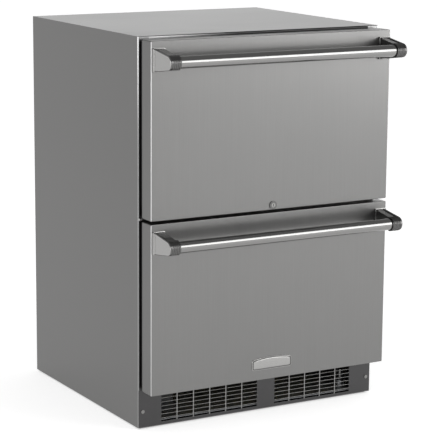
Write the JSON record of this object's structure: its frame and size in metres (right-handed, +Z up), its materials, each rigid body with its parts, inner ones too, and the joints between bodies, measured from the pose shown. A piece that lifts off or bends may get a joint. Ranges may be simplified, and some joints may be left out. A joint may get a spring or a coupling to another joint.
{
  "type": "undercounter drawer refrigerator",
  "caption": "Undercounter refrigerator in brushed stainless steel with stacked full-extension drawers, tubular handles, a key lock and a louvred kick plate.",
  "frame": {"origin": "floor level, under the middle of the overall footprint, handles included", "axes": "+Z up, the drawers open towards -Y, +X to the right seen from the front"},
  "size_m": [0.606, 0.667, 0.857],
  "materials": {
    "brushed_stainless": "vertical fine brushed grain",
    "polished_stainless": "fine turned and polished",
    "rear_sheet": "plain mill finish",
    "liner_stainless": "satin",
    "insulation_foam": "rigid foam",
    "back_panel_plastic": "fine moulded texture",
    "seal_rubber": "matt",
    "screw_steel": "bright zinc",
    "black_enamel": "semi-gloss enamel",
    "coil_aluminium": "plain fins",
    "dark_plastic": "fine moulded texture",
    "motor_steel": "grey paint",
    "copper_tube": "drawn copper",
    "light_lens": "translucent white",
    "slide_zinc": "zinc plated",
    "cage_brass": "pressed strip",
    "lock_chrome": "polished"
  },
  "bodies": {
    "root": {"left_side_panel": "brushed_stainless", "right_side_panel": "brushed_stainless", "top_panel": "brushed_stainless", "rear_panel": "rear_sheet", "rear_service_cover": "rear_sheet", "base_pan": "rear_sheet", "foam_insulation": "insulation_foam", "inner_liner": "liner_stainless", "mullion": "brushed_stainless", "front_rail": "brushed_stainless", "kick_plate": "brushed_stainless", "panel_screws": "screw_steel", "cord_gland": "seal_rubber", "compressor": "black_enamel", "compressor_mounts": "seal_rubber", "condenser": "coil_aluminium", "condenser_fan_shroud": "dark_plastic", "condenser_fan_motor": "motor_steel", "refrigerant_lines": "copper_tube", "drain_pan": "back_panel_plastic", "drain_tube": "back_panel_plastic", "evaporator": "coil_aluminium", "evaporator_cover": "liner_stainless", "evaporator_fan_motor": "motor_steel", "control_box": "back_panel_plastic", "control_panel": "dark_plastic", "interior_light": "light_lens", "upper_slide_outer_members": "slide_zinc", "lower_slide_outer_members": "slide_zinc"},
    "upper_drawer": {"upper_drawer_front": "brushed_stainless", "upper_drawer_core": "insulation_foam", "upper_drawer_inner_panel": "back_panel_plastic", "upper_drawer_gasket": "seal_rubber", "upper_drawer_bin": "liner_stainless", "upper_handle_bar": "polished_stainless", "upper_handle_posts": "polished_stainless", "upper_slide_inner_members": "slide_zinc", "lock_barrel": "lock_chrome"},
    "lock": {"lock_plug": "lock_chrome", "lock_cam": "lock_chrome"},
    "lower_drawer": {"lower_drawer_front": "brushed_stainless", "lower_drawer_core": "insulation_foam", "lower_drawer_inner_panel": "back_panel_plastic", "lower_drawer_gasket": "seal_rubber", "lower_drawer_bin": "liner_stainless", "lower_handle_bar": "polished_stainless", "lower_handle_posts": "polished_stainless", "lower_slide_inner_members": "slide_zinc"},
    "upper_middle_slides": {"upper_slide_middle_members": "slide_zinc"},
    "upper_outer_cages": {"upper_outer_ball_cages": "cage_brass"},
    "upper_inner_cages": {"upper_inner_ball_cages": "cage_brass"},
    "lower_middle_slides": {"lower_slide_middle_members": "slide_zinc"},
    "lower_outer_cages": {"lower_outer_ball_cages": "cage_brass"},
    "lower_inner_cages": {"lower_inner_ball_cages": "cage_brass"},
    "condenser_fan": {"condenser_fan_blade": "dark_plastic"},
    "evaporator_fan": {"evaporator_fan_blade": "dark_plastic"},
    "front_left_leg": {"front_left_leg": "screw_steel"},
    "front_right_leg": {"front_right_leg": "screw_steel"},
    "rear_left_leg": {"rear_left_leg": "screw_steel"},
    "rear_right_leg": {"rear_right_leg": "screw_steel"}
  },
  "joints": [
    {"name": "upper_drawer_slide", "type": "slide", "parent": "root", "child": "upper_drawer", "axis": [0, -1, 0], "range_m": [0, 0.4]},
    {"name": "upper_middle_slides_run", "type": "slide", "parent": "root", "child": "upper_middle_slides", "axis": [0, -1, 0], "range_m": [0, 0.2]},
    {"name": "upper_outer_cages_run", "type": "slide", "parent": "root", "child": "upper_outer_cages", "axis": [0, -1, 0], "range_m": [0, 0.1]},
    {"name": "upper_inner_cages_run", "type": "slide", "parent": "root", "child": "upper_inner_cages", "axis": [0, -1, 0], "range_m": [0, 0.3]},
    {"name": "lower_drawer_slide", "type": "slide", "parent": "root", "child": "lower_drawer", "axis": [0, -1, 0], "range_m": [0, 0.4]},
    {"name": "lower_middle_slides_run", "type": "slide", "parent": "root", "child": "lower_middle_slides", "axis": [0, -1, 0], "range_m": [0, 0.2]},
    {"name": "lower_outer_cages_run", "type": "slide", "parent": "root", "child": "lower_outer_cages", "axis": [0, -1, 0], "range_m": [0, 0.1]},
    {"name": "lower_inner_cages_run", "type": "slide", "parent": "root", "child": "lower_inner_cages", "axis": [0, -1, 0], "range_m": [0, 0.3]},
    {"name": "lock_turn", "type": "hinge", "parent": "upper_drawer", "child": "lock", "pos_m": [0, -0.2575, 0.4815], "axis": [0, -1, 0], "range_deg": [0, 90]},
    {"name": "condenser_fan_spin", "type": "hinge", "parent": "root", "child": "condenser_fan", "pos_m": [-0.1415, 0.2365, 0.122], "axis": [0, 1, 0], "continuous": true},
    {"name": "evaporator_fan_spin", "type": "hinge", "parent": "root", "child": "evaporator_fan", "pos_m": [0, 0.2345, 0.705], "axis": [0, 1, 0], "continuous": true},
    {"name": "front_left_leg_screw", "type": "slide", "parent": "root", "child": "front_left_leg", "axis": [0, 0, -1], "range_m": [0, 0.025]},
    {"name": "front_right_leg_screw", "type": "slide", "parent": "root", "child": "front_right_leg", "axis": [0, 0, -1], "range_m": [0, 0.025]},
    {"name": "rear_left_leg_screw", "type": "slide", "parent": "root", "child": "rear_left_leg", "axis": [0, 0, -1], "range_m": [0, 0.025]},
    {"name": "rear_right_leg_screw", "type": "slide", "parent": "root", "child": "rear_right_leg", "axis": [0, 0, -1], "range_m": [0, 0.025]}
  ],
  "couplings": [
    {"joint": "upper_middle_slides_run", "follows": "upper_drawer_slide", "ratio": 0.5},
    {"joint": "upper_outer_cages_run", "follows": "upper_drawer_slide", "ratio": 0.25},
    {"joint": "upper_inner_cages_run", "follows": "upper_drawer_slide", "ratio": 0.75},
    {"joint": "lower_middle_slides_run", "follows": "lower_drawer_slide", "ratio": 0.5},
    {"joint": "lower_outer_cages_run", "follows": "lower_drawer_slide", "ratio": 0.25},
    {"joint": "lower_inner_cages_run", "follows": "lower_drawer_slide", "ratio": 0.75}
  ]
}
